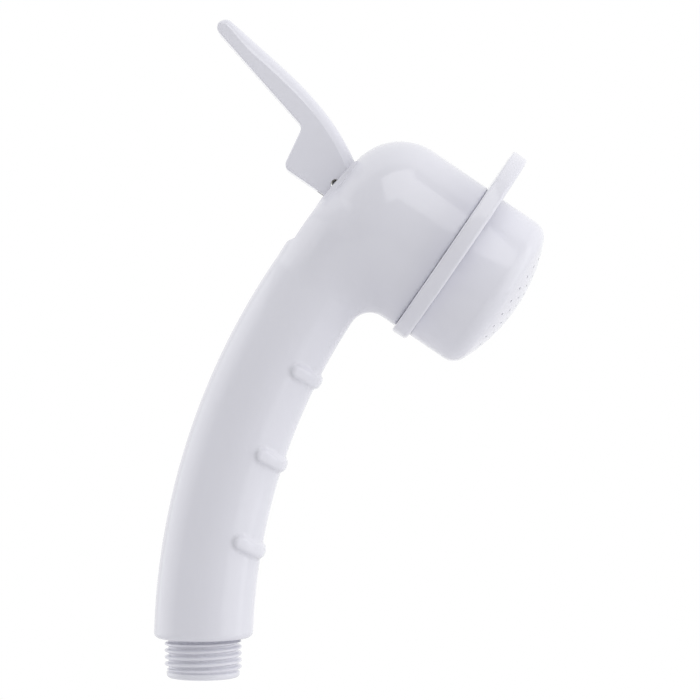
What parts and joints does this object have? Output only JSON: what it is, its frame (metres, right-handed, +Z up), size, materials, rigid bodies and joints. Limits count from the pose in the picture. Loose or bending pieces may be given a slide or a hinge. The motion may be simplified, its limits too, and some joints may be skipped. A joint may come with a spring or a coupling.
{
  "type": "handheld shower head",
  "caption": "Handheld shower head with a curved ribbed grip, tilted round head with an off-centre collar, domed spray cup and a toggle lever on its back.",
  "frame": {"origin": "centre of the hose thread's end face, at the bottom of the grip", "axes": "+Z up along the thread's axis, +X towards the side that sprays, +Y across the head"},
  "size_m": [0.1062, 0.059, 0.1787],
  "materials": {
    "white_body": "moulded, glossy",
    "white_nipple": "moulded, satin gloss",
    "white_collar": "moulded, glossy",
    "white_cup": "moulded, glossy",
    "white_lever": "moulded, glossy",
    "white_inner": "moulded, matt",
    "black_rubber": "matt",
    "steel_mesh": "etched",
    "spring_steel": "drawn wire",
    "pin_steel": "dark, ground",
    "brass": "turned"
  },
  "bodies": {
    "housing": {"handle_body": "white_body", "hose_nipple": "white_nipple", "nipple_o_ring": "black_rubber", "inlet_strainer": "steel_mesh", "collar_ring": "white_collar", "spray_cup": "white_cup", "cup_gasket": "black_rubber", "flow_diffuser": "white_inner", "valve_seat": "brass", "seat_o_ring": "black_rubber", "seat_retainer": "white_inner", "gland_o_ring": "black_rubber", "gland_washer": "brass", "gland_nut": "brass", "stem_spring": "spring_steel"},
    "stem": {"valve_stem": "brass", "valve_washer": "black_rubber", "washer_nut": "brass", "lever_pin": "pin_steel"},
    "toggle": {"lever": "white_lever"}
  },
  "joints": [
    {"name": "stem_slide", "type": "slide", "parent": "housing", "child": "stem", "axis": [-0.8261, 0, 0.5635], "range_m": [0, 0.0056], "deforming": ["stem_spring"]},
    {"name": "lever_hinge", "type": "hinge", "parent": "stem", "child": "toggle", "pos_m": [0.03607, 0, 0.13397], "axis": [0, -1, 0], "range_deg": [0, 90]}
  ],
  "couplings": [
    {"joint": "lever_hinge", "follows": "stem_slide", "rad_per_m": 280.49}
  ]
}
